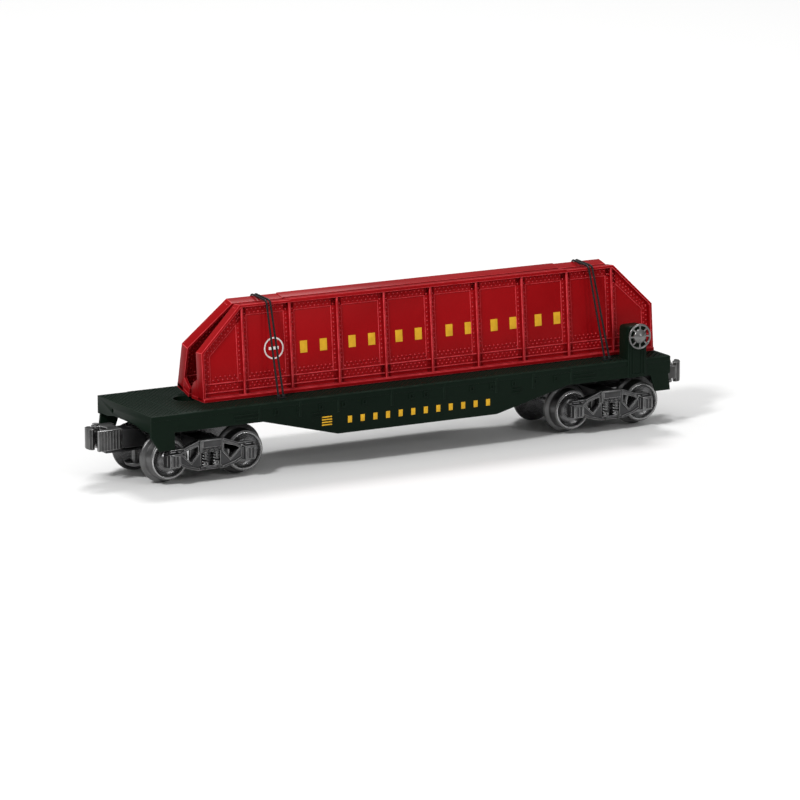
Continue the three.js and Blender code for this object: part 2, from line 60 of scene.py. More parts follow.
def shown(name, data):
    """A scene object that holds the data."""
    made = bpy.data.objects.new(name, data)
    scene.collection.objects.link(made)
    return made


VIEW_TURN = radians(29.57)
VIEW_DROP = radians(12.22)
VIEW_DISTANCE = 2338.7
LOOK_AT = Vector((0, 0, 30))
OFF_CENTRE = (5.08, -9.55)
camera_data = bpy.data.cameras.new("camera")
camera_data.lens = 220.14
camera_data.sensor_width = 36
camera_data.clip_end = 50
camera = shown("camera", camera_data)
camera.rotation_euler = (pi / 2 - VIEW_DROP, 0, -VIEW_TURN)
back_off = camera.rotation_euler.to_matrix() @ Vector((*OFF_CENTRE, VIEW_DISTANCE))
camera.location = to_row @ (LOOK_AT + back_off)
scene.camera = camera
scene.view_settings.view_transform = "Standard"


def fitted(nodes, low, high, source=(0, 1)):
    """Fits a value that runs over source to the range from low to high."""
    fit = nodes.new("ShaderNodeMapRange")
    fit.inputs["From Min"].default_value, fit.inputs["From Max"].default_value = source
    fit.inputs["To Min"].default_value = low
    fit.inputs["To Max"].default_value = high
    return fit


SKY_AT_HORIZON = 0.05
SKY_OVERHEAD = 0.68
world = bpy.data.worlds.new("studio")
scene.world = world
world.use_nodes = True
sky, sky_links = world.node_tree.nodes, world.node_tree.links
sky["Background"].inputs["Color"].default_value = (1, 1, 1, 1)
sky_way = sky.new("ShaderNodeTexCoord")
sky_height = sky.new("ShaderNodeSeparateXYZ")
sky_fade = fitted(sky, SKY_AT_HORIZON, SKY_OVERHEAD)
sky_links.new(sky_way.outputs["Generated"], sky_height.inputs["Vector"])
sky_links.new(sky_height.outputs["Z"], sky_fade.inputs["Value"])
sky_links.new(sky_fade.outputs["Result"], sky["Background"].inputs["Strength"])


def softbox(name, place, size, power):
    light = bpy.data.lights.new(name, "AREA")
    light.shape = "RECTANGLE"
    light.size, light.size_y = size
    light.energy = power
    holder = shown(name, light)
    holder.location = place
    aim = LOOK_AT / 1000 - Vector(place)
    holder.rotation_euler = aim.to_track_quat("-Z", "Y").to_euler()


softbox("key_light", (-2.3, -1.1, 2.2), (0.5, 0.4), 64)
softbox("back_light", (0.8, 1.6, 2.6), (0.9, 0.6), 46)
softbox("front_light", (0.9, -2.6, 1.3), (0.35, 0.5), 12)


def new_material(name):
    made = bpy.data.materials.new(name)
    made.use_nodes = True
    return made, made.node_tree.nodes, made.node_tree.links


def noise(nodes, scale, detail=2):
    field = nodes.new("ShaderNodeTexNoise")
    field.inputs["Scale"].default_value = scale
    field.inputs["Detail"].default_value = detail
    return field


def two_tone(nodes, dark, light, starts=0.0, ends=1.0):
    """Runs from dark to light over the stretch of its input between starts and ends."""
    ramp = nodes.new("ShaderNodeValToRGB")
    low, high = ramp.color_ramp.elements
    low.position, high.position = starts, ends
    low.color, high.color = (*dark, 1), (*light, 1)
    return ramp


FLOOR_HALF = 8
FLOOR_DROP = 0.0002
floor_paper, nodes, links = new_material("floor_paper")
nodes["Principled BSDF"].inputs["Roughness"].default_value = 0.9
grain = noise(nodes, 6)
tint = two_tone(nodes, (0.82, 0.82, 0.82), (0.86, 0.86, 0.855))
links.new(grain.outputs["Fac"], tint.inputs["Fac"])
links.new(tint.outputs["Color"], nodes["Principled BSDF"].inputs["Base Color"])
floor_mesh = bpy.data.meshes.new("floor")
floor_corners = [(x * FLOOR_HALF, y * FLOOR_HALF, 0) for x, y in ((-1, -1), (1, -1), (1, 1), (-1, 1))]
floor_mesh.from_pydata(floor_corners, [], [(0, 1, 2, 3)])
floor_mesh.materials.append(floor_paper)
floor = shown("floor", floor_mesh)
floor.location.z = -FLOOR_DROP


# ---- Body moulding
# One dark green plastic moulding: the deck, fish-belly side sills, end sills, corner steps
# and the brake stand. It comes satin from the tool, with softened edges and faint flow marks.
def painted_edge_highlight(nodes, links, base, edge, amount):
    """Paints highlights on the rounded edges, lighter in uneven patches. Returns the colour to use."""
    highlight_mask = nodes.new("ShaderNodeAttribute")
    highlight_mask.attribute_name = "edge"
    place = nodes.new("ShaderNodeTexCoord")
    patches = noise(nodes, 260)
    share = fitted(nodes, 0.35 * amount, amount, (0.25, 0.6))
    strength = nodes.new("ShaderNodeMath")
    strength.operation = "MULTIPLY"
    colour = nodes.new("ShaderNodeMix")
    colour.data_type = "RGBA"
    colour.inputs[7].default_value = (*edge, 1)
    links.new(place.outputs["Object"], patches.inputs["Vector"])
    links.new(patches.outputs["Fac"], share.inputs["Value"])
    links.new(share.outputs["Result"], strength.inputs[0])
    links.new(highlight_mask.outputs["Fac"], strength.inputs[1])
    links.new(strength.outputs["Value"], colour.inputs[0])
    links.new(base, colour.inputs[6])
    return colour.outputs[2]


def relief(nodes, links, height, shader, strength, depth):
    """Raises the surface by a texture's value."""
    bumps = nodes.new("ShaderNodeBump")
    bumps.inputs["Strength"].default_value = strength
    bumps.inputs["Distance"].default_value = depth
    links.new(height, bumps.inputs["Height"])
    links.new(bumps.outputs["Normal"], shader.inputs["Normal"])


def finish(name, dark, light, tones, edge, highlight_amount, slow, fine, gloss, bump):
    """A skin that drifts between two colours, with fine relief, uneven gloss and painted highlights on
    its rounded edges.
    """
    made, nodes, links = new_material(name)
    shader = nodes["Principled BSDF"]
    place = nodes.new("ShaderNodeTexCoord")
    drift = noise(nodes, *slow)
    skin = noise(nodes, *fine)
    for texture in (drift, skin):
        links.new(place.outputs["Object"], texture.inputs["Vector"])
    colours = two_tone(nodes, dark, light, *tones)
    shine = fitted(nodes, *gloss)
    links.new(drift.outputs["Fac"], colours.inputs["Fac"])
    links.new(drift.outputs["Fac"], shine.inputs["Value"])
    colour = painted_edge_highlight(nodes, links, colours.outputs["Color"], edge, highlight_amount)
    links.new(colour, shader.inputs["Base Color"])
    links.new(shine.outputs["Result"], shader.inputs["Roughness"])
    relief(nodes, links, skin.outputs["Fac"], shader, *bump)
    return made, shader


def plastic(name, dark, light, edge, rough, shine, bump=0.05, flow=18.0, highlight_amount=0.5):
    """Moulded plastic, with faint flow marks."""
    made, shader = finish(name, dark, light, (0.3, 0.72), edge, highlight_amount, (flow, 5), (1400, 3),
                          (rough - 0.06, rough + 0.1), (bump, 0.0002))
    shader.inputs["Specular IOR Level"].default_value = shine
    return made


def round_edges(bm, sharper_than, width, clamp):
    """Rounds the edges of a shape and marks the rounded faces as edge, where the materials paint
    highlights.
    """
    mark = bm.faces.layers.float.get("edge") or bm.faces.layers.float.new("edge")
    sharp = [
        e for e in bm.edges
        if len(e.link_faces) == 2 and e.calc_face_angle(0) > radians(sharper_than)
    ]
    rounded = bmesh.ops.bevel(
        bm, geom=sharp, offset=width, segments=2, profile=0.6, affect="EDGES", clamp_overlap=clamp
    )
    for face in rounded["faces"]:
        face[mark] = 1.0


def set_piece(name, bm, material, body, stands_for=(), crease=35, in_row=False):
    """Turns a drawn shape into a finished piece on its body."""
    if not in_row:
        bm.transform(to_row)
    mesh = bpy.data.meshes.new(name)
    bm.to_mesh(mesh)
    bm.free()
    mesh.shade_smooth()
    mesh.set_sharp_from_angle(angle=radians(crease))
    mesh.materials.append(material)
    made = shown(name, mesh)
    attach(made, body)
    if stands_for:
        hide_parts(*stands_for)
    return made


def softened(node, edge, sharper_than=30):
    """The node's own shape with its edges rounded, as they come out of a mould."""
    bm = bmesh.new()
    bm.from_mesh(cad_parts[node].data)
    bmesh.ops.remove_doubles(bm, verts=bm.verts, dist=2e-6)
    bmesh.ops.dissolve_limit(bm, angle_limit=radians(1), verts=bm.verts, edges=bm.edges)
    round_edges(bm, sharper_than, edge / 1000, False)
    bmesh.ops.recalc_face_normals(bm, faces=bm.faces)
    return bm


# The lighter green that is painted as highlights on the rounded edges of the green plastic.
EDGE_HIGHLIGHT_GREEN = (0.02, 0.032, 0.024)
body_plastic = plastic("body_plastic", (0.0028, 0.0078, 0.0045), (0.0055, 0.0128, 0.0076),
                       EDGE_HIGHLIGHT_GREEN, 0.38, 0.05, highlight_amount=0.55)
set_piece("car_body", softened("body_moulding", 0.18), body_plastic, "car",
          ["body_moulding"], in_row=True)


# ---- Deck tread
# The deck is moulded with a fine raised lozenge pattern, set alternately one way and the
# other, all over but for a narrow edge. The end of the deck is a step lower than the rest.
DECK_TOP = 32.7
TREAD_PITCH = 1.5
TREAD_LENGTH = 0.62
TREAD_HEIGHT = 0.16
TREAD_WIDTH = 0.26
TREAD_SUNK = 0.02
TREAD_X = (-140.6, 140.2)
TREAD_Y = 26.6
DECK_LOW_END = 32.4
RAISED_FROM = -126.0
TRUCK_X = 109.25
SCREW_WELL = 6.7
# The lozenges are painted a lighter green than the deck they are moulded with, as painted highlights on
# their raised tops.
tread_highlight_plastic = plastic("tread_highlight_plastic", (0.006, 0.0128, 0.0082), (0.011, 0.02, 0.0138),
                        EDGE_HIGHLIGHT_GREEN, 0.36, 0.08)


def points_with(name, places, attribute, values):
    """Loose points that carry one vector each, for a node tree to put pieces on."""
    mesh = bpy.data.meshes.new(name)
    mesh.from_pydata([to_row @ Vector(p) for p in places], [], [])
    mesh.attributes.new(attribute, "FLOAT_VECTOR", "POINT")
    mesh.attributes[attribute].data.foreach_set("vector", [c for v in values for c in v])
    return shown(name, mesh)


def grown(points, tree, settings, body):
    """Runs a node tree on the points and keeps the plain mesh that it makes."""
    growing = points.modifiers.new("grow", "NODES")
    growing.node_group = tree
    for socket in tree.interface.items_tree:
        if socket.item_type == "SOCKET" and socket.in_out == "INPUT" and socket.name in settings:
            growing[socket.identifier] = settings[socket.name]
    done = points.evaluated_get(bpy.context.evaluated_depsgraph_get())
    mesh = bpy.data.meshes.new_from_object(done)
    name = points.name
    bpy.data.objects.remove(points)
    made = shown(name, mesh)
    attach(made, body)
    return made


def start_tree(name, sizes):
    tree = bpy.data.node_groups.new(name, "GeometryNodeTree")
    tree.interface.new_socket("Geometry", in_out="INPUT", socket_type="NodeSocketGeometry")
    for size in sizes:
        tree.interface.new_socket(size, in_out="INPUT", socket_type="NodeSocketFloat")
    tree.interface.new_socket("Material", in_out="INPUT", socket_type="NodeSocketMaterial")
    tree.interface.new_socket("Geometry", in_out="OUTPUT", socket_type="NodeSocketGeometry")
    return tree, tree.nodes.new("NodeGroupInput"), tree.nodes.new("NodeGroupOutput")


def point_vector(tree, name):
    """The vector that each point carries under a name."""
    carried = tree.nodes.new("GeometryNodeInputNamedAttribute")
    carried.data_type = "FLOAT_VECTOR"
    carried.inputs["Name"].default_value = name
    return carried.outputs["Attribute"]


def sized(tree, given, shape, sizes):
    """A unit shape stretched along X, Y and Z by the inputs that sizes names."""
    size = tree.nodes.new("ShaderNodeCombineXYZ")
    scaled = tree.nodes.new("GeometryNodeTransform")
    for axis, name in zip("XYZ", sizes):
        tree.links.new(given.outputs[name], size.inputs[axis])
    tree.links.new(shape, scaled.inputs["Geometry"])
    tree.links.new(size.outputs["Vector"], scaled.inputs["Scale"])
    return scaled.outputs["Geometry"]


def end_tree(tree, given, result, shape, smooth, turn=None):
    """Sets the shape on every point, and makes the copies real in the tree's material."""
    placed = tree.nodes.new("GeometryNodeInstanceOnPoints")
    real = tree.nodes.new("GeometryNodeRealizeInstances")
    shade = tree.nodes.new("GeometryNodeSetShadeSmooth")
    shade.inputs["Shade Smooth"].default_value = smooth
    paint = tree.nodes.new("GeometryNodeSetMaterial")
    tree.links.new(given.outputs["Geometry"], placed.inputs["Points"])
    tree.links.new(shape, placed.inputs["Instance"])
    if turn:
        tree.links.new(turn, placed.inputs["Rotation"])
    tree.links.new(placed.outputs["Instances"], real.inputs["Geometry"])
    tree.links.new(real.outputs["Geometry"], shade.inputs["Geometry"])
    tree.links.new(shade.outputs["Geometry"], paint.inputs["Geometry"])
    tree.links.new(given.outputs["Material"], paint.inputs["Material"])
    tree.links.new(paint.outputs["Geometry"], result.inputs["Geometry"])


def lozenge_tree():
    sizes = ("Length", "Width", "Height")
    tree, given, result = start_tree("tread_lozenges", sizes)
    stud = tree.nodes.new("GeometryNodeMeshCone")
    stud.inputs["Vertices"].default_value = 4
    stud.inputs["Radius Top"].default_value = 0.45
    stud.inputs["Radius Bottom"].default_value = 1
    stud.inputs["Depth"].default_value = 1
    shape = sized(tree, given, stud.outputs["Mesh"], sizes)
    end_tree(tree, given, result, shape, False, point_vector(tree, "turn"))
    return tree


def on_bare_deck(x, y):
    over_well = min(hypot(x - TRUCK_X, y), hypot(x + TRUCK_X, y)) < SCREW_WELL
    under_stand = 115 < x < 129 and y < -18.5
    return not (over_well or under_stand)


tread_spots, tread_turns = [], []
for column in range(int((TREAD_X[1] - TREAD_X[0]) / TREAD_PITCH)):
    for row in range(int(2 * TREAD_Y / TREAD_PITCH) + 1):
        x = TREAD_X[0] + column * TREAD_PITCH
        y = -TREAD_Y + row * TREAD_PITCH
        if on_bare_deck(x, y):
            deck = DECK_TOP if x > RAISED_FROM else DECK_LOW_END
            tread_spots.append((x, y, deck - TREAD_SUNK))
            tread_turns.append((0, 0, pi / 4 if (column + row) % 2 else -pi / 4))
grown(
    points_with("deck_tread", tread_spots, "turn", tread_turns),
    lozenge_tree(),
    {"Length": TREAD_LENGTH / 1000, "Width": TREAD_WIDTH / 1000, "Height": 2 * TREAD_HEIGHT / 1000,
     "Material": tread_highlight_plastic},
    "car",
)


# ---- Side sill fittings
# Stake pockets, short steps and grab bars moulded on the side sills, each a shallow
# bracket that stands less than half a millimetre proud of the sill.
def merge_into(bm, part):
    """Adds one drawn shape to another."""
    carrier = bpy.data.meshes.new("carrier")
    part.to_mesh(carrier)
    part.free()
    bm.from_mesh(carrier)
    bpy.data.meshes.remove(carrier)


def slab(bm, outline, plane, low, high, round_by=0.12, hole=None, place=Matrix.Identity(4)):
    """A flat plate with rounded edges. plane names the axes of its outline and of its hole."""
    loops = [outline] + ([hole] if hole else [])
    part = bmesh.new()
    rings = []
    for loop in loops:
        rings.append([[part.verts.new((a, b, h)) for a, b in loop] for h in (low, high)])
    sides = [(i, (i + 1) % len(outline)) for i in range(len(outline))]
    if hole:
        for outer, inner in zip(*rings):
            for i, j in sides:
                part.faces.new((outer[i], outer[j], inner[j], inner[i]))
    else:
        for face in rings[0]:
            part.faces.new(face)
    for bottom, top in rings:
        for i, j in sides:
            part.faces.new((bottom[i], bottom[j], top[j], top[i]))
    bmesh.ops.recalc_face_normals(part, faces=part.faces)
    if round_by:
        round_edges(part, 20, round_by, True)
    columns = {"xy": (0, 1, 2), "xz": (0, 2, 1), "yz": (1, 2, 0)}[plane]
    turn = Matrix.Identity(4)
    for source, target in enumerate(columns):
        turn.col[source] = [1.0 if r == target else 0.0 for r in range(3)] + [0.0]
    part.transform(place @ turn)
    bmesh.ops.recalc_face_normals(part, faces=part.faces)
    merge_into(bm, part)


def bar(bm, x0, x1, y0, y1, z0, z1, round_by=0.12, place=Matrix.Identity(4)):
    """A straight bar between two corners."""
    slab(bm, [(x0, y0), (x1, y0), (x1, y1), (x0, y1)], "xy", z0, z1, round_by, None, place)


def span(side, near, far):
    """The low and the high end of a stretch that is measured outwards on one side."""
    return sorted((side * near, side * far))


SILL_FACE = 27.85
POCKET_SPOTS = (3.9, 29.3, 40.4, 52.5, 64.2, 76.2)
POCKET_MIDDLE = 27.7
GRAB_BAR_X = 54.5
LONG_STEP_X = 92
LIP_HALF = 141.2
STAND_X = 122
STAND_FACE = (-28.75, -28.35)


def pocket_outline(x, half_width, half_height):
    low, high = POCKET_MIDDLE - half_height, POCKET_MIDDLE + half_height
    return [(x - half_width, low), (x + half_width, low), (x + half_width, high), (x - half_width, high)]


sill_fittings = bmesh.new()
for side in (-1, 1):
    proud = span(side, SILL_FACE - 0.2, SILL_FACE + 0.42)
    for spot in POCKET_SPOTS:
        for x in (-spot, spot):
            slab(sill_fittings, pocket_outline(x, 1.15, 1.4), "xz", *proud, 0.08,
                 pocket_outline(x, 0.55, 0.8))
    for x in (-GRAB_BAR_X, GRAB_BAR_X):
        for z in (23.4, 25.2):
            bar(sill_fittings, x - 2.6, x + 2.6, *proud, z - 0.22, z + 0.22, 0.08)
    for x in (-LONG_STEP_X, LONG_STEP_X):
        for low, high in ((26.2, 26.8), (28.1, 28.5)):
            bar(sill_fittings, x - 6.5, x + 6.5, *proud, low, high, 0.1)
    lip = span(side, SILL_FACE - 0.2, SILL_FACE + 0.16)
    bar(sill_fittings, -LIP_HALF, LIP_HALF, *lip, 30.0, 32.2, 0.1)
for x, low, high in ((-3.9, 25.0, 44.0), (-2.3, 25.6, 41.5), (2.4, 25.6, 38.0), (4.0, 25.0, 44.0)):
    bar(sill_fittings, STAND_X + x - 0.3, STAND_X + x + 0.3, *STAND_FACE, low, high, 0.1)
bar(sill_fittings, STAND_X - 4, STAND_X + 4.1, *STAND_FACE, 25.0, 25.6, 0.1)
bar(sill_fittings, STAND_X - 5, STAND_X - 4.4, -27.9, -20.8, 33.2, 47.2, 0.12)
set_piece("sill_fittings", sill_fittings, body_plastic, "car")


# ---- Car side markings
# Plain printed marks in yellow ink: a row of small upright blocks along each side sill and a
# block of short lines beside it. They are thin as paint and carry no letters.
def ink(name, dark, light):
    """Pad-printed ink with slightly uneven cover."""
    return plastic(name, dark, light, light, 0.45, 0.2, bump=0.02, flow=240.0)


INK_ROUND = 0.02
MARK_START = 37
MARK_PITCH = 6.85
LINES_X = 49.3
LINES_LOW = 18.9
LINE_PITCH = 1.25
yellow_ink = ink("yellow_ink", (0.62, 0.33, 0.012), (0.8, 0.45, 0.02))
side_marks = bmesh.new()
for side in (-1, 1):
    printed = span(side, SILL_FACE - 0.1, SILL_FACE + 0.05)
    for i in range(12):
        x = side * (MARK_START - i * MARK_PITCH)
        bar(side_marks, x - 1.1, x + 1.1, *printed, 18.65, 21.9, INK_ROUND)
    for i in range(4):
        x, z = side * LINES_X, LINES_LOW + i * LINE_PITCH
        bar(side_marks, x - 2.7, x + 2.7, *printed, z - 0.3, z + 0.3, INK_ROUND)
set_piece("side_marks", side_marks, yellow_ink, "car")


# ---- Brake wheel
# A cast grey handwheel on a short steel shaft in the brake stand: a round rim, eight flat
# spokes and a large dished hub.
def turned(bm, profile, centre, axis, sides, lathed=False):
    """A closed profile of (radius, distance along the axis) turned about Y or Z. A lathed shape
    carries the turning attribute, which the lathe rings follow."""
    part = bmesh.new()
    store = part.verts.layers.float.new("turning") if lathed else None
    rings = []
    for r, h in profile:
        ring = []
        count = 1 if r < 1e-6 else sides
        for s in range(count):
            a = 2 * pi * s / sides
            spot = (r * sin(a), h, r * cos(a)) if axis == "y" else (r * cos(a), r * sin(a), h)
            vert = part.verts.new(Vector(spot) + Vector(centre))
            if store:
                vert[store] = r + 0.35 * h
            ring.append(vert)
        rings.append(ring)
    closed = len(rings[0]) > 1
    pairs = list(zip(rings, rings[1:])) + ([(rings[-1], rings[0])] if closed else [])
    for a, b in pairs:
        for s in range(sides):
            t = (s + 1) % sides
            corners = [a[s % len(a)], a[t % len(a)], b[t % len(b)], b[s % len(b)]]
            kept = list(dict.fromkeys(corners))
            if len(kept) > 2:
                part.faces.new(kept)
    bmesh.ops.recalc_face_normals(part, faces=part.faces)
    merge_into(bm, part)


def cast_metal(name, dark, light, edge, rough, metal, bump=0.12, highlight_amount=0.8):
    """Die-cast metal, with a sandy skin and blotchy tone."""
    made, shader = finish(name, dark, light, (0.32, 0.7), edge, highlight_amount, (120, 6), (900, 4),
                          (rough - 0.08, rough + 0.14), (bump, 0.0003))
    shader.inputs["Metallic"].default_value = metal
    return made


def recoat(node, material):
    """Gives a shape that is used as it comes its finish."""
    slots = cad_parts[node].data.materials
    slots.clear()
    slots.append(material)


brake_metal = cast_metal("brake_metal", (0.13, 0.13, 0.13), (0.24, 0.238, 0.235),
                         (0.4, 0.39, 0.38), 0.26, 0.8, 0.05)
steel = cast_metal("bright_steel", (0.25, 0.25, 0.25), (0.4, 0.395, 0.39),
                   (0.5, 0.5, 0.5), 0.3, 0.9, 0.04)
BRAKE_BACK = -30.05
BRAKE_Z = 44.4
RIM_RADIUS = 5.75
RIM_WIRE = (0.55, 0.5)
SPOKES = 8
brake_hub = [
    (0, 0.4), (3.2, 0.4), (3.5, 0), (3.45, -0.6), (3.2, -0.95), (2.8, -1.25), (2.3, -1.6),
    (1.7, -1.95), (1.1, -2.25), (0.6, -2.4), (0, -2.45),
]
brake = bmesh.new()
hub_centre = (STAND_X, BRAKE_BACK, BRAKE_Z)
rim_turns = [2 * pi * i / 12 for i in range(12)]
rim = [(RIM_RADIUS + RIM_WIRE[0] * cos(a), -0.5 + RIM_WIRE[1] * sin(a)) for a in rim_turns]
turned(brake, rim, hub_centre, "y", 64)
turned(brake, brake_hub, hub_centre, "y", 48)
for i in range(SPOKES):
    spoke = Matrix.Translation(hub_centre) @ Matrix.Rotation(2 * pi * i / SPOKES, 4, "Y")
    bar(brake, 3.0, 5.5, -0.8, -0.2, -0.36, 0.36, 0.12, spoke)
set_piece("brake_handwheel", brake, brake_metal, "brake", ["brake_wheel"], crease=50)
recoat("brake_shaft", steel)


# ---- Wheels and axles
# Turned wheels on plain axles: a darkened, dished face inside a bright ring, a grey tread and a
# deep flange. The lathe leaves fine rings all over them.
WHEELBASE = 39.3
TREAD = 9.73
FLANGE = 11.95


def turned_metal(name, dark, light, rough, ring_depth):
    """Metal with fine lathe rings that follow the turning attribute."""
    made, nodes, links = new_material(name)
    shader = nodes["Principled BSDF"]
    shader.inputs["Metallic"].default_value = 0.85
    rings = nodes.new("ShaderNodeAttribute")
    rings.attribute_name = "turning"
    place = nodes.new("ShaderNodeTexCoord")
    blotch = noise(nodes, 160, 5)
    fine = noise(nodes, 6, 4)
    fine.noise_dimensions = "1D"
    mixed = nodes.new("ShaderNodeMix")
    mixed.inputs["Factor"].default_value = 0.5
    colours = two_tone(nodes, dark, light, 0.35, 0.65)
    gloss = fitted(nodes, rough - 0.06, rough + 0.12)
    links.new(rings.outputs["Fac"], fine.inputs["W"])
    links.new(place.outputs["Object"], blotch.inputs["Vector"])
    links.new(fine.outputs["Fac"], mixed.inputs[2])
    links.new(blotch.outputs["Fac"], mixed.inputs[3])
    links.new(mixed.outputs[0], colours.inputs["Fac"])
    links.new(mixed.outputs[0], gloss.inputs["Value"])
    links.new(colours.outputs["Color"], shader.inputs["Base Color"])
    links.new(gloss.outputs["Result"], shader.inputs["Roughness"])
    relief(nodes, links, fine.outputs["Fac"], shader, ring_depth, 0.0002)
    return made


wheel_dark = turned_metal("wheel_dark", (0.095, 0.095, 0.097), (0.22, 0.22, 0.222), 0.24, 0.35)
wheel_tread = turned_metal("wheel_tread", (0.1, 0.1, 0.1), (0.19, 0.19, 0.19), 0.3, 0.3)
wheel_bright = turned_metal("wheel_bright", (0.45, 0.45, 0.45), (0.65, 0.65, 0.65), 0.24, 0.2)
# The wheel in section, from the bore over its outer face, rim, tread, flange and back.
wheel_section = [
    (1.62, 20.9), (3.0, 20.95), (3.4, 20.7), (3.7, 20.1), (4.2, 19.7), (5.2, 19.55), (6.2, 19.7),
    (7.0, 20.05), (7.7, 20.6), (8.15, 21.2), (8.35, 21.7), (8.55, 21.82), (8.75, 21.75),
    (8.95, 21.35), (9.5, 21.25), (TREAD - 0.05, 20.95), (TREAD, 20.6), (TREAD, 16.4), (9.95, 15.95),
    (11.2, 15.5), (11.75, 15.2), (FLANGE, 14.7), (11.8, 14.1), (11.3, 13.8), (1.62, 13.8),
]
axle_section = [(0, -24.4), (1.2, -24.4), (1.5, -24.1), (1.5, 24.1), (1.2, 24.4), (0, 24.4)]
WHEEL_SIDES = 96
BRIGHT_RING = (8.2, 8.85)
RING_FACE = 21


def paint_wheel(wheel, middle):
    """Gives the turned tread, flange and ring of a wheel their own finish."""
    wheel.data.materials.append(wheel_tread)
    wheel.data.materials.append(wheel_bright)
    for face in wheel.data.polygons:
        spot = (face.center - middle) * 1000
        radius, out = hypot(spot.x, spot.z), abs(spot.y)
        if radius > BRIGHT_RING[1] and out < RING_FACE + 0.6:
            face.material_index = 1
        if BRIGHT_RING[0] < radius < BRIGHT_RING[1] and out > RING_FACE:
            face.material_index = 2


for side, hand in (("left", -1), ("right", 1)):
    for place, reach in (("outer", 1), ("inner", -1)):
        wheelset = f"wheelset_{side}_{place}"
        centre = (hand * (TRUCK_X + reach * WHEELBASE / 2), 0, TREAD)
        axle = bmesh.new()
        turned(axle, axle_section, centre, "y", 24, True)
        set_piece(f"axle_bar_{side}_{place}", axle, wheel_bright, wheelset,
                  [f"axle_{side}_{place}"])
        for order, across in (("a", hand), ("b", -hand)):
            wheel = bmesh.new()
            turned(wheel, [(r, across * h) for r, h in wheel_section], centre, "y", WHEEL_SIDES, True)
            made = set_piece(f"turned_wheel_{side}_{place}_{order}", wheel, wheel_dark, wheelset,
                             [f"wheel_{side}_{place}_{order}"], crease=40)
            paint_wheel(made, to_row @ Vector(centre))


# ---- Trucks
# Black die-cast side frames with journal boxes, riveted to a bolster with a long coupler
# pocket. Two coil springs show in each frame's window.
# The rounded edges of the truck castings get a pale painted highlight.
truck_metal = cast_metal("truck_metal", (0.026, 0.026, 0.027), (0.062, 0.062, 0.064),
                         (0.5, 0.5, 0.5), 0.27, 0.65, 0.15, highlight_amount=0.7)
black_metal = cast_metal("black_metal", (0.008, 0.008, 0.0085), (0.02, 0.02, 0.021),
                         (0.07, 0.07, 0.07), 0.4, 0.3, 0.15, highlight_amount=0.5)
spring_steel = cast_metal("spring_steel", (0.1, 0.1, 0.1), (0.2, 0.2, 0.2),
                          (0.5, 0.5, 0.5), 0.25, 0.9, 0.03)


def rivet_tree():
    tree, given, result = start_tree("rivet_heads", ("Head Radius", "Head Height"))
    head = tree.nodes.new("GeometryNodeMeshUVSphere")
    head.inputs["Segments"].default_value = 7
    head.inputs["Rings"].default_value = 5
    head.inputs["Radius"].default_value = 1
    shape = sized(tree, given, head.outputs["Mesh"], ("Head Radius", "Head Radius", "Head Height"))
    aligned = tree.nodes.new("FunctionNodeAlignRotationToVector")
    aligned.axis = "Z"
    tree.links.new(point_vector(tree, "facing"), aligned.inputs["Vector"])
    end_tree(tree, given, result, shape, True, aligned.outputs["Rotation"])
    return tree


rivets_on = rivet_tree()


def rivets(name, places, facings, radius, height, material, body):
    return grown(
        points_with(name, places, "facing", facings), rivets_on,
        {"Head Radius": radius / 1000, "Head Height": height / 1000, "Material": material}, body,
    )


def coil_tree():
    tree, given, result = start_tree("coil_springs", ("Coil Radius", "Wire Radius", "Height", "Turns"))
    spiral = tree.nodes.new("GeometryNodeCurveSpiral")
    spiral.inputs["Resolution"].default_value = 14
    wire = tree.nodes.new("GeometryNodeCurvePrimitiveCircle")
    wire.inputs["Resolution"].default_value = 7
    swept = tree.nodes.new("GeometryNodeCurveToMesh")
    swept.inputs["Fill Caps"].default_value = True
    for size, socket in (("Coil Radius", spiral.inputs["Start Radius"]),
                         ("Coil Radius", spiral.inputs["End Radius"]),
                         ("Height", spiral.inputs["Height"]),
                         ("Turns", spiral.inputs["Rotations"]),
                         ("Wire Radius", wire.inputs["Radius"])):
        tree.links.new(given.outputs[size], socket)
    tree.links.new(spiral.outputs["Curve"], swept.inputs["Curve"])
    tree.links.new(wire.outputs["Curve"], swept.inputs["Profile Curve"])
    end_tree(tree, given, result, swept.outputs["Mesh"], True)
    return tree


coils_on = coil_tree()


def grown_outline(outline, by):
    """The outline moved outwards by a distance, corner by corner."""
    points = [Vector(p) for p in outline]
    area = sum(a.x * b.y - b.x * a.y for a, b in zip(points, points[1:] + points[:1]))
    sign = 1 if area > 0 else -1
    result = []
    for i, corner in enumerate(points):
        before = (corner - points[i - 1]).normalized()
        after = (points[(i + 1) % len(points)] - corner).normalized()
        out_before = Vector((before.y, -before.x)) * sign
        out_after = Vector((after.y, -after.x)) * sign
        middle = (out_before + out_after).normalized()
        result.append(tuple(corner + middle * by / max(0.4, middle.dot(out_before))))
    return result


BOX_FRONT = 25.6
BOX_HALF = 4.2
BOX_MIDDLE = 10.1
BOX_DRAFT = (0.72, 0.9)


def drawn_in(bm, truck_middle):
    """Draws in the front of each journal box, so that it tapers from the frame to its lid."""
    for vert in bm.verts:
        spot = (vert.co - rail_origin) * 1000
        for middle in (truck_middle - WHEELBASE / 2, truck_middle + WHEELBASE / 2):
            if abs(spot.y) > BOX_FRONT and abs(spot.x - middle) < BOX_HALF:
                spot.x = middle + (spot.x - middle) * BOX_DRAFT[0]
                spot.z = BOX_MIDDLE + (spot.z - BOX_MIDDLE) * BOX_DRAFT[1]
        vert.co = rail_origin + spot / 1000


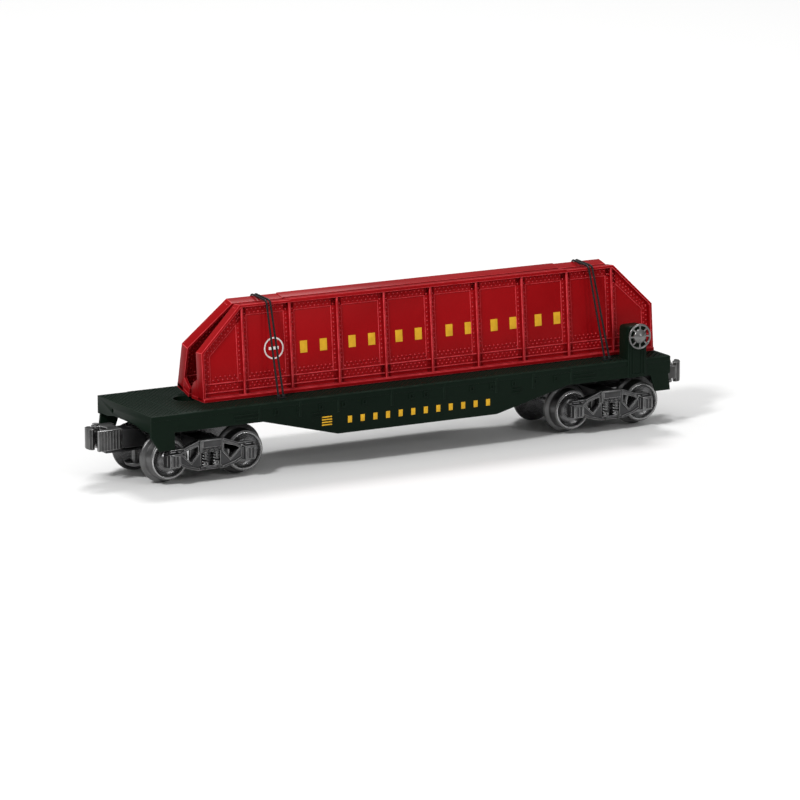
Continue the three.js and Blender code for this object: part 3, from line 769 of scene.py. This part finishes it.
FRAME_FACE = 25.0
FRAME_BACK = 22.7
SPRING_X = 2.85
SPRING_Y = 24.2
SPRING_FOOT = 5.8
window_rim = [(6.5, 12), (6.7, 15.5), (13.4, 13.5), (15, 12.4), (10.2, 8)]
lower_chord = [(6.0, 3.8), (12.8, 5.5), (16.6, 7.7), (16.4, 8.6), (12.3, 6.6), (6.0, 4.9)]
upper_chord = [(5.4, 17.2), (6.2, 18.1), (14.4, 15.1), (14.0, 14.2)]
brake_hanger = [(5, 5.2), (8.8, 5.6), (9.3, 9.5), (8.8, 15.3), (5, 16.4)]
lid_half = [(2.3, 7.3), (2.6, 10), (2.2, 12.7)]


def journal_trim(trim, box, across, turn):
    """The lid of a journal box with its three ribs, and a rib down each side of the box."""
    lid = [(box + u, z) for u, z in lid_half] + [(box - u, z) for u, z in reversed(lid_half)]
    slab(trim, lid, "xz", *span(across, 27.4, 28.0), 0.2, None, turn)
    for u in (-1.7, 0, 1.7):
        bar(trim, box + u - 0.3, box + u + 0.3, *span(across, 27.9, 28.35), 7.8, 12.2, 0.14, turn)
    for u in (-3.3, 3.3):
        bar(trim, box + u - 0.3, box + u + 0.3, *span(across, 25.2, 26.4), 7.6, 12.6, 0.14, turn)


def frame_half_trim(trim, end, across, turn):
    """One end of a side frame: window rim, journal lid, chords and the rib beside the springs."""
    rim_line = [(end * u, z) for u, z in window_rim]
    slab(trim, grown_outline(rim_line, 0.75), "xz", *span(across, FRAME_FACE - 0.3, FRAME_FACE + 0.55),
         0.18, grown_outline(rim_line, 0.02), turn)
    journal_trim(trim, end * WHEELBASE / 2, across, turn)
    for chord in (lower_chord, upper_chord):
        slab(trim, [(end * u, z) for u, z in chord], "xz",
             *span(across, FRAME_FACE - 0.2, FRAME_FACE + 0.7), 0.16, None, turn)
    rib = span(across, FRAME_FACE - 0.2, FRAME_FACE + 1.5)
    bar(trim, end * 5.7 - 0.35, end * 5.7 + 0.35, *rib, 12.6, 17.9, 0.15, turn)


def spring_seat_trim(trim, across, turn):
    """The cap plate, the ledges and wall round the springs, their cups, and the brake hangers."""
    bar(trim, -4.9, 4.9, *span(across, FRAME_FACE + 1.0, FRAME_FACE + 1.65), 14.6, 17.9, 0.2, turn)
    for low, high in ((12.2, 13.0), (4.9, 5.7)):
        bar(trim, -5.2, 5.2, *span(across, FRAME_BACK, FRAME_FACE + 0.9), low, high, 0.15, turn)
    bar(trim, -4.6, 4.6, *span(across, FRAME_BACK, FRAME_BACK + 0.4), 5.0, 12.8, 0.05, turn)
    for end in (-1, 1):
        slab(trim, [(end * u, z) for u, z in brake_hanger], "xz", *span(across, 20.3, 21.8),
             0.15, None, turn)
        seat, middle = span(across, 24.6, 25.9), end * SPRING_X
        bar(trim, middle - 1.2, middle + 1.2, *seat, 5.5, 7.8, 0.6, turn)
        bar(trim, middle - 0.5, middle + 0.5, *seat, 9.0, 12.4, 0.2, turn)


def frame_rivet_spots(across):
    """Rivets along the cap, over the springs, on the lower ledge and over the journal boxes."""
    rows = [(1.2, 13.9, (-3.4, -1.15, 1.15, 3.4)), (0.7, 12.6, (-4.2, -1.4, 1.4, 4.2)),
            (0.8, 4.6, (-3.6, 3.6))]
    rows += [(0.1, 14.2, (box - 2.2, box + 2.2)) for box in (-WHEELBASE / 2, WHEELBASE / 2)]
    return [Vector((u, across * (FRAME_FACE + proud), z)) for proud, z, spots in rows for u in spots]


spring_sizes = {"Coil Radius": 0.00155, "Wire Radius": 0.00043, "Height": 0.0063, "Turns": 4.5,
                "Material": spring_steel}
for side, hand in (("left", -1), ("right", 1)):
    # hand turns the drawing round, so that the coupler points outwards at either end.
    way = Matrix.Rotation(0 if hand < 0 else pi, 4, "Z")
    turn = Matrix.Translation((hand * TRUCK_X, 0, 0)) @ way
    truck = f"truck_{side}"
    for order, across in (("a", -1), ("b", 1)):
        cast = softened(f"side_frame_{side}_{order}", 0.22)
        drawn_in(cast, hand * TRUCK_X)
        set_piece(f"frame_casting_{side}_{order}", cast, truck_metal, truck,
                  [f"side_frame_{side}_{order}"], in_row=True)
        trim = bmesh.new()
        for end in (-1, 1):
            frame_half_trim(trim, end, across, turn)
        spring_seat_trim(trim, across, turn)
        set_piece(f"frame_trim_{side}_{order}", trim, truck_metal, truck)
        spots = [turn @ spot for spot in frame_rivet_spots(across)]
        facing = way.to_3x3() @ Vector((0, across, 0))
        rivets(f"frame_rivets_{side}_{order}", spots, [facing] * len(spots), 0.62, 0.7,
               truck_metal, truck)
    coil_spots = [turn @ Vector((u, y, SPRING_FOOT))
                  for y in (-SPRING_Y, SPRING_Y) for u in (-SPRING_X, SPRING_X)]
    springs = grown(points_with(f"springs_{side}", coil_spots, "facing", [(0, 0, 1)] * 4),
                    coils_on, spring_sizes, truck)
    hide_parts(*[f"spring_{side}_{place}" for place in ("a1", "a2", "b1", "b2")])
    set_piece(f"bolster_{side}", softened(f"truck_frame_{side}", 0.3), black_metal, truck,
              [f"truck_frame_{side}"], in_row=True)
    recoat(f"pivot_screw_{side}", steel)
    recoat(f"pivot_nut_{side}", steel)
    recoat(f"armature_{side}", truck_metal)


# ---- Couplers
# Bare grey cast knuckle couplers: a ribbed guard arm, a head with a hinged knuckle on its pin,
# and under it a springy plate with a broad dished tack that pulls it down to open the knuckle.
# The rounded edges of the coupler and knuckle castings get a pale painted highlight.
coupler_metal = cast_metal("coupler_metal", (0.04, 0.04, 0.04), (0.085, 0.085, 0.084),
                           (0.42, 0.42, 0.42), 0.28, 0.7)
knuckle_metal = cast_metal("knuckle_metal", (0.035, 0.035, 0.035), (0.08, 0.08, 0.079),
                           (0.3, 0.3, 0.3), 0.26, 0.75, 0.1, highlight_amount=0.45)
GUARD_START = 36
GUARD_BEND = 44
TACK_X = -26.9
tack_section = [
    (0, 13.3), (2.2, 13.3), (2.3, 13.1), (2.2, 12.9), (1.4, 12.9), (1.4, 5.3), (2.2, 5.0),
    (3.8, 5.3), (4.9, 5.75), (5.0, 5.5), (4.5, 4.6), (3.6, 4.0), (2.4, 3.6), (0, 3.42),
]


def guard_face(u):
    """How far the guard arm's outer face lies from the middle, at u outwards from the pivot."""
    return -6.2 if u > GUARD_BEND else -5.4 - 0.8 * (u - GUARD_START) / (GUARD_BEND - GUARD_START)


# The right coupler stands a little further out and higher, by the play that it has.
for side, hand, out, up in (("left", -1, 0, 0), ("right", 1, 0.5, 0.8)):
    turn = (Matrix.Translation((hand * (TRUCK_X + out), 0, up))
            @ Matrix.Rotation(0 if hand < 0 else pi, 4, "Z"))
    truck = f"truck_{side}"
    set_piece(f"coupler_casting_{side}", softened(f"coupler_head_{side}", 0.35), coupler_metal, truck,
              [f"coupler_head_{side}"], in_row=True)
    ribs = bmesh.new()
    for u in (37.6, 39.2, 40.8, 42.4, 44.0, 45.6, 47.2):
        face = guard_face(u)
        bar(ribs, -u - 0.32, -u + 0.32, face - 0.3, face + 0.4, 13.9, 22.6, 0.14, turn)
    set_piece(f"guard_ribs_{side}", ribs, coupler_metal, truck)
    set_piece(f"knuckle_casting_{side}", softened(f"knuckle_{side}", 0.3), knuckle_metal,
              f"knuckle_{side}", [f"knuckle_{side}"], in_row=True)
    recoat(f"knuckle_pin_{side}", steel)
    tack = bmesh.new()
    turned(tack, tack_section, turn @ Vector((TACK_X + out, 0, -up)), "z", 48, True)
    set_piece(f"tack_{side}", tack, wheel_tread, f"armature_{side}",
              [f"armature_tack_{side}"], crease=40)


# ---- Steel weight
# A plain steel strip lies flat under the deck between the side sills. It holds the light
# plastic car down on the track.
recoat("weight_plate", steel)


# ---- Girders
# Two red plate girders, moulded in one piece each: a web, flanges all round, nine stiffeners
# a side, angle strips with staggered rivets, and a cover plate along the top.
GIRDER_LENGTH = 247.4
GIRDER_START = -107.3
GIRDER_END = GIRDER_START + GIRDER_LENGTH
GIRDER_HEIGHT = 42.8
CLIP = 21.2
SHOULDER = 22.1
FLANGE_HALF = 2.95
FLANGE_THICK = 1.2
WEB_HALF = 0.7
STIFFENER_PITCH = 25.35
FLOOR_OF_LOAD = 33.0
stiffener_spots = [(GIRDER_START + GIRDER_END) / 2 + (i - 4) * STIFFENER_PITCH for i in range(9)]

# The girders' rounded edges get a strong pinkish painted highlight.
girder_plastic = plastic("girder_plastic", (0.245, 0.0026, 0.0042), (0.345, 0.005, 0.0075),
                         (0.8, 0.08, 0.095), 0.3, 0.05, bump=0.06, highlight_amount=0.9)
# The rivet heads are painted a lighter, glossier red than the girder, as painted highlights on them.
rivet_highlight_red = plastic("rivet_highlight_red", (0.36, 0.012, 0.017), (0.62, 0.045, 0.055),
                     (0.7, 0.05, 0.06), 0.24, 0.2, flow=320.0)


def girder_outline(inset, low=0.0):
    slope = inset * 0.42
    left, right = GIRDER_START + inset, GIRDER_END - inset
    top, shoulder, clip = GIRDER_HEIGHT - inset, SHOULDER - slope, CLIP - slope
    return [(left, low), (left, shoulder), (left + clip, top),
            (right - clip, top), (right, shoulder), (right, low)]


def girder_blade(bm, place):
    """The web, the flange round it, the cover plate, and the angles and stiffeners on both faces."""
    slab(bm, girder_outline(0.4, 0.4), "xz", -WEB_HALF, WEB_HALF, 0.1, None, place)
    slab(bm, girder_outline(0), "xz", -FLANGE_HALF, FLANGE_HALF, 0.18,
         girder_outline(FLANGE_THICK, 0.9), place)
    bar(bm, stiffener_spots[1], stiffener_spots[7], -FLANGE_HALF, FLANGE_HALF,
        GIRDER_HEIGHT - 0.3, GIRDER_HEIGHT + 0.4, 0.12, place)
    for side in (-1, 1):
        strip = span(side, WEB_HALF - 0.1, WEB_HALF + 0.35)
        slab(bm, girder_outline(FLANGE_THICK - 0.2, 1), "xz", *strip, 0.2,
             girder_outline(5.2, 7.2), place)
        for z in (2.9, 7.0):
            bar(bm, GIRDER_START + 1, GIRDER_END - 1, *span(side, WEB_HALF, WEB_HALF + 0.75),
                z - 0.25, z + 0.25, 0.2, place)
        for x in stiffener_spots:
            bar(bm, x - 0.5, x + 0.5, *span(side, WEB_HALF, FLANGE_HALF - 0.35),
                0.6, GIRDER_HEIGHT - 0.6, 0.3, place)
            bar(bm, x - 2.9, x + 2.9, *strip, 1, GIRDER_HEIGHT - 1.2, 0.2, place)


def staggered(start, end, across, rows, pitch):
    """Spots in rows along a line in x and z, every other row set half a pitch on."""
    along = Vector((end[0] - start[0], end[1] - start[1]))
    count = max(1, int(along.length / pitch))
    spots = []
    for r, offset in enumerate(rows):
        for i in range(count + (0 if r % 2 else 1)):
            t = (i + (0.5 if r % 2 else 0)) / count
            spots.append((start[0] + along.x * t + across[0] * offset,
                          start[1] + along.y * t + across[1] * offset))
    return spots


RIVET_PITCH = 2.1
BOTH_ROWS = (0, 1.5)


def girder_rivet_spots():
    """Rivet places on one face of the girder, as (x, height)."""
    spots = []
    bays = [GIRDER_START + 4.2, *stiffener_spots, GIRDER_END - 4.2]
    top = GIRDER_HEIGHT - 2.4
    for i, (a, b) in enumerate(zip(bays, bays[1:])):
        low = a + (2.2 if i == 0 else 3.4)
        high = b - (2.2 if i == 9 else 3.4)
        for z in (4.25, 8.6):
            spots += staggered((low, z), (high, z), (0, 1), BOTH_ROWS, RIVET_PITCH)
        if 0 < i < 9:
            spots += staggered((low, top), (high, top), (0, -1), BOTH_ROWS, RIVET_PITCH)
    for x in stiffener_spots:
        for side in (-1.7, 1.7):
            spots += staggered((x + side, 10.6), (x + side, GIRDER_HEIGHT - 4.4), (1, 0), (0,),
                               RIVET_PITCH)
    rise = Vector((CLIP, GIRDER_HEIGHT - SHOULDER)).normalized()
    for end, hand in ((GIRDER_START, 1), (GIRDER_END, -1)):
        upright = end + hand * 2.5
        spots += staggered((upright, 5), (upright, SHOULDER - 1.2), (hand, 0), BOTH_ROWS, RIVET_PITCH)
        spots += staggered((end + hand * 2.6, SHOULDER - 0.8),
                           (end + hand * (CLIP + 1.5), GIRDER_HEIGHT - 2.7),
                           (hand * rise.y, -rise.x), BOTH_ROWS, RIVET_PITCH)
    return spots


# The near girder stands flat on its foot and the far one leans over against it.
GIRDERS = {
    "near": {"hand": -1, "base": -11.6, "lift": 0.8, "lean": 4.9,
             "foot": [(-15.1, 0), (-15.1, 1.6), (-2.2, 1.6), (-2.2, 0)],
             "gusset": [(-11, 0.2), (-2.3, 0.2), (-2, 4.4), (-4.4, 8.2), (-8, 9.8), (-11, 9.8)]},
    "far": {"hand": 1, "base": 9.7, "lift": 2.2, "lean": 13.2,
            "foot": [(1.1, 0), (0.6, 1.6), (12.1, 5.2), (12.6, 3.6)],
            "gusset": [(9.6, 2.8), (1.1, 0.2), (0, 4.2), (3.4, 6.4), (5.6, 8.8), (8, 10.5), (9.6, 9.8)]},
}
GUSSET_THICK = 1.4
BAY_SHIFTS = (0, 0.7, 0.8, 3.0, 2.6, 2)
BADGE_MIDDLE = ((stiffener_spots[0] + stiffener_spots[1]) / 2 + 4.2, 20.6)
white_ink = ink("white_ink", (0.72, 0.66, 0.64), (0.85, 0.80, 0.78))


def ring_outline(middle, radius, sides=40):
    turns = [2 * pi * i / sides for i in range(sides)]
    return [(middle[0] + radius * cos(t), middle[1] + radius * sin(t)) for t in turns]


for name, girder in GIRDERS.items():
    hand = girder["hand"]
    place = (Matrix.Translation((0, girder["base"], FLOOR_OF_LOAD + girder["lift"]))
             @ Matrix.Rotation(radians(hand * girder["lean"]), 4, "X"))
    shape = bmesh.new()
    girder_blade(shape, place)
    foot = [(y, z + FLOOR_OF_LOAD) for y, z in girder["foot"]]
    slab(shape, foot, "yz", GIRDER_START, GIRDER_END, 0.18)
    gusset = [(y, z + FLOOR_OF_LOAD) for y, z in girder["gusset"]]
    for x in (GIRDER_START + 0.05, GIRDER_END - GUSSET_THICK - 0.05):
        slab(shape, gusset, "yz", x, x + GUSSET_THICK, 0.12)
    set_piece(f"plate_girder_{name}", shape, girder_plastic, "car",
              [f"girder_{name}"])
    spots, facings = [], []
    for side in (-1, 1):
        for x, z in girder_rivet_spots():
            spots.append(place @ Vector((x, side * (WEB_HALF + 0.34), z)))
            facings.append(place.to_3x3() @ Vector((0, side, 0)))
    rivets(f"girder_rivets_{name}", spots, facings, 0.46, 0.42, rivet_highlight_red, "car")
    printed = span(hand, WEB_HALF - 0.1, WEB_HALF + 0.06)
    marks = bmesh.new()
    for bay, shift in enumerate(BAY_SHIFTS):
        middle = (stiffener_spots[bay + 1] + stiffener_spots[bay + 2]) / 2 + shift
        for x in (middle - 5.3, middle + 5.3):
            bar(marks, x - 1.9, x + 1.9, *printed, 16.9, 22.6, INK_ROUND, place)
    set_piece(f"girder_marks_{name}", marks, yellow_ink, "car")
    badge = bmesh.new()
    slab(badge, ring_outline(BADGE_MIDDLE, 5.2), "xz", *printed, INK_ROUND,
         ring_outline(BADGE_MIDDLE, 4.5), place)
    x, z = BADGE_MIDDLE
    bar(badge, x - 2.6, x + 2.6, *printed, z - 0.7, z + 0.7, INK_ROUND, place)
    set_piece(f"girder_badge_{name}", badge, white_ink, "car")


# ---- Tie bands and their hooks
# Black elastic cord, doubled, over both girder tops and down to a small moulded hook near each
# deck edge. The cord is braided, a millimetre thick, stretched tight, and ends in ferrules.
def tube(bm, path, radius, sides, uv_name):
    """A round section swept along a path with the least twist."""
    rings = []
    direction = (path[1] - path[0]).normalized()
    across = direction.orthogonal().normalized()
    for i, point in enumerate(path):
        ahead = path[min(i + 1, len(path) - 1)] - path[max(i - 1, 0)]
        new_direction = ahead.normalized()
        across = (direction.rotation_difference(new_direction) @ across).normalized()
        direction = new_direction
        other = direction.cross(across)
        turns = [2 * pi * s / sides for s in range(sides)]
        rings.append([
            bm.verts.new(point + radius * (cos(t) * across + sin(t) * other)) for t in turns
        ])
    uv = bm.loops.layers.uv.new(uv_name)
    travelled = 0.0
    for i in range(len(rings) - 1):
        step = (path[i + 1] - path[i]).length
        for s in range(sides):
            t = (s + 1) % sides
            made = bm.faces.new((rings[i][s], rings[i][t], rings[i + 1][t], rings[i + 1][s]))
            reached = travelled + step
            corners = [(travelled, s), (travelled, s + 1), (reached, s + 1), (reached, s)]
            for loop, (u, v) in zip(made.loops, corners):
                loop[uv].uv = (u / (2 * pi * radius), v / sides)
        travelled += step
    bm.faces.new(list(reversed(rings[0])))
    bm.faces.new(rings[-1])
    bmesh.ops.recalc_face_normals(bm, faces=bm.faces)


def girder_top(girder):
    lean = radians(girder["lean"])
    reach = FLANGE_HALF * cos(lean) - GIRDER_HEIGHT * sin(lean)
    rise = GIRDER_HEIGHT * cos(lean) + FLANGE_HALF * sin(lean)
    return girder["base"] + girder["hand"] * reach, FLOOR_OF_LOAD + girder["lift"] + rise


braided_cord, nodes, links = new_material("braided_cord")
cord_shader = nodes["Principled BSDF"]
cord_shader.inputs["Roughness"].default_value = 0.4
cord_shader.inputs["Specular IOR Level"].default_value = 0.3
cord_uv = nodes.new("ShaderNodeUVMap")
cord_uv.uv_map = "along"
braid_scale = nodes.new("ShaderNodeMapping")
braid_scale.inputs["Scale"].default_value = (2.0, 6.0, 1.0)
braid = nodes.new("ShaderNodeTexWave")
braid.bands_direction = "DIAGONAL"
braid.inputs["Scale"].default_value = 1.4
braid.inputs["Distortion"].default_value = 0.6
braid_tint = two_tone(nodes, (0.0025, 0.0025, 0.003), (0.014, 0.014, 0.0145))
links.new(cord_uv.outputs["UV"], braid_scale.inputs["Vector"])
links.new(braid_scale.outputs["Vector"], braid.inputs["Vector"])
links.new(braid.outputs["Fac"], braid_tint.inputs["Fac"])
links.new(braid_tint.outputs["Color"], cord_shader.inputs["Base Color"])
relief(nodes, links, braid.outputs["Fac"], cord_shader, 0.5, 0.0002)

BAND_RADIUS = 0.5
BAND_FOOT_Y = 21.6
BAND_BEND = 2.1
STRAND_HALF = 1.3
STRAND_SIDES = 12
CROSSING_SHARE = 0.75
FOOT_RISE = 1.0
# How far outside each girder's top corner a strand's two straight runs would meet.
NEAR_CORNER = Vector((0, -0.64, 0.84))
FAR_CORNER = Vector((0, 0.62, 0.78))
near_y, near_z = girder_top(GIRDERS["near"])
far_y, far_z = girder_top(GIRDERS["far"])
ferrule = [(0, 0.3), (1.0, 0.3), (1.02, 1.4), (0.85, 1.75), (0, 1.8)]
band_rubber = plastic("band_rubber", (0.003, 0.003, 0.0032), (0.009, 0.009, 0.0092),
                      (0.03, 0.03, 0.03), 0.4, 0.3)


def round_the_corner(before, corner, after, bend, steps):
    """A true arc of the given radius in the corner between two straight runs."""
    back, on = (before - corner).normalized(), (after - corner).normalized()
    half = back.angle(on) / 2
    centre = corner + (back + on).normalized() * bend / sin(half)
    first = corner + back * bend / tan(half) - centre
    last = corner + on * bend / tan(half) - centre
    turns = [first.slerp(last, i / steps) for i in range(steps + 1)]
    return [centre + turn * (bend / turn.length) for turn in turns]


def strand_path(top, foot):
    """From the near foot up, over both girders' tops and down to the far foot."""
    start = Vector((foot, -BAND_FOOT_Y, DECK_TOP + FOOT_RISE))
    end = Vector((foot, BAND_FOOT_Y, DECK_TOP + FOOT_RISE))
    over_near = Vector((top, near_y, near_z)) + NEAR_CORNER
    over_far = Vector((top, far_y, far_z)) + FAR_CORNER
    path = [start.lerp(over_near, i / 6) for i in range(6)]
    path += round_the_corner(start, over_near, over_far, BAND_BEND, 8)
    path += round_the_corner(over_near, over_far, end, BAND_BEND, 8)
    return path + [over_far.lerp(end, i / 6) for i in range(1, 7)]


for side, top, foot in (("left", -71.5, -70.4), ("right", 105.2, 108.9)):
    for order, offset in (("1", -STRAND_HALF), ("2", STRAND_HALF)):
        path = strand_path(top + CROSSING_SHARE * offset, foot + offset)
        strand = bmesh.new()
        tube(strand, path, BAND_RADIUS, STRAND_SIDES, "along")
        made = set_piece(f"elastic_{side}_{order}", strand, braided_cord, "car",
                         [f"tie_band_{side}_{order}"], crease=60)
    for hand, which in ((-1, "near"), (1, "far")):
        anchor = bmesh.new()
        y = hand * (BAND_FOOT_Y + 0.3)
        bar(anchor, foot - 2.5, foot + 2.5, y - 1.2, y + 1.2, DECK_TOP + 0.05, DECK_TOP + 0.6, 0.15)
        for offset in (-STRAND_HALF, STRAND_HALF):
            turned(anchor, ferrule, (foot + offset, hand * BAND_FOOT_Y, DECK_TOP), "z", 16)
        set_piece(f"band_anchor_{side}_{which}", anchor, band_rubber, "car",
                  [f"band_hook_{side}_{which}"])
